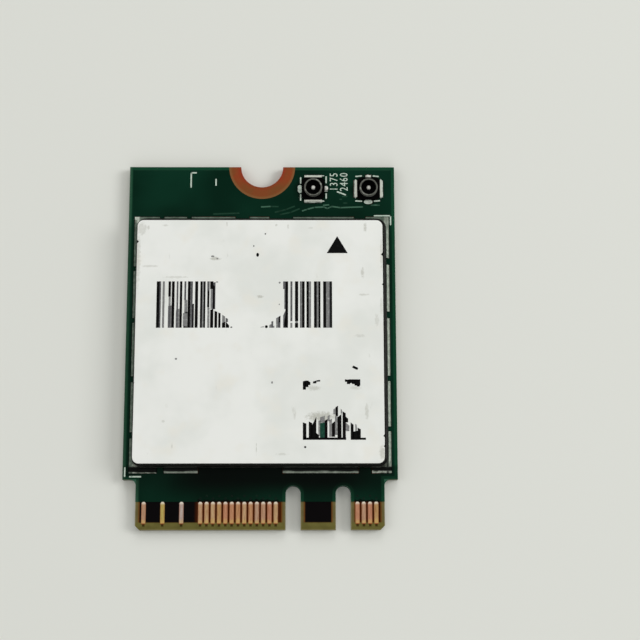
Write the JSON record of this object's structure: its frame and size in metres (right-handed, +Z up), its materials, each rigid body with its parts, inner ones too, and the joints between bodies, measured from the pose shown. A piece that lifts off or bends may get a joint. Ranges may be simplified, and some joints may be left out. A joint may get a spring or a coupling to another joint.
{
  "type": "laptop radio card",
  "caption": "Small wireless edge card for a laptop, with a shielded radio, two coaxial antenna receptacles, a keyed contact tongue and a half-round screw notch.",
  "frame": {"origin": "middle of the underside, which rests on a surface", "axes": "+Z up out of the component side, +Y along the card towards the screw notch, -Y towards the contact tongue, +X across it towards the first contact"},
  "size_m": [0.022, 0.03, 0.0022],
  "materials": {
    "laminate": "glass laminate",
    "green_mask": "dark green film",
    "gold": "gold plated",
    "bare_copper": "bare copper",
    "solder": "tin solder",
    "can_metal": "nickel silver sheet",
    "label_paper": "white label",
    "receptacle_metal": "plated",
    "receptacle_plastic": "black moulding",
    "lead_metal": "tinned",
    "chip_mould": "black moulding",
    "ceramic_part": "matt",
    "ferrite": "matt",
    "capacitor_body": "matt"
  },
  "bodies": {
    "root": {"antenna_1_insulator": "receptacle_plastic", "antenna_1_pin": "gold", "antenna_1_shell": "receptacle_metal", "antenna_2_insulator": "receptacle_plastic", "antenna_2_pin": "gold", "antenna_2_shell": "receptacle_metal", "antenna_lands": "solder", "capacitor_bodies": "capacitor_body", "capacitor_ends": "lead_metal", "circuit_board": "laminate", "component_lands": "solder", "crystal_base": "ceramic_part", "crystal_lid": "lead_metal", "diplexer_bodies": "ceramic_part", "diplexer_ends": "lead_metal", "edge_contacts_bottom": "gold", "edge_contacts_top": "gold", "flash_chip_body": "chip_mould", "flash_chip_leads": "lead_metal", "front_end_chip_bodies": "chip_mould", "front_end_chip_leads": "lead_metal", "label": "label_paper", "mounting_ring": "bare_copper", "power_inductor_bodies": "ferrite", "power_inductor_ends": "lead_metal", "radio_chip_body": "chip_mould", "radio_chip_leads": "lead_metal", "resistor_bodies": "chip_mould", "resistor_ends": "lead_metal", "shield_can": "can_metal", "shield_lands": "solder", "shield_solder": "solder", "solder_mask_bottom": "green_mask", "solder_mask_top": "green_mask"}
  },
  "joints": []
}
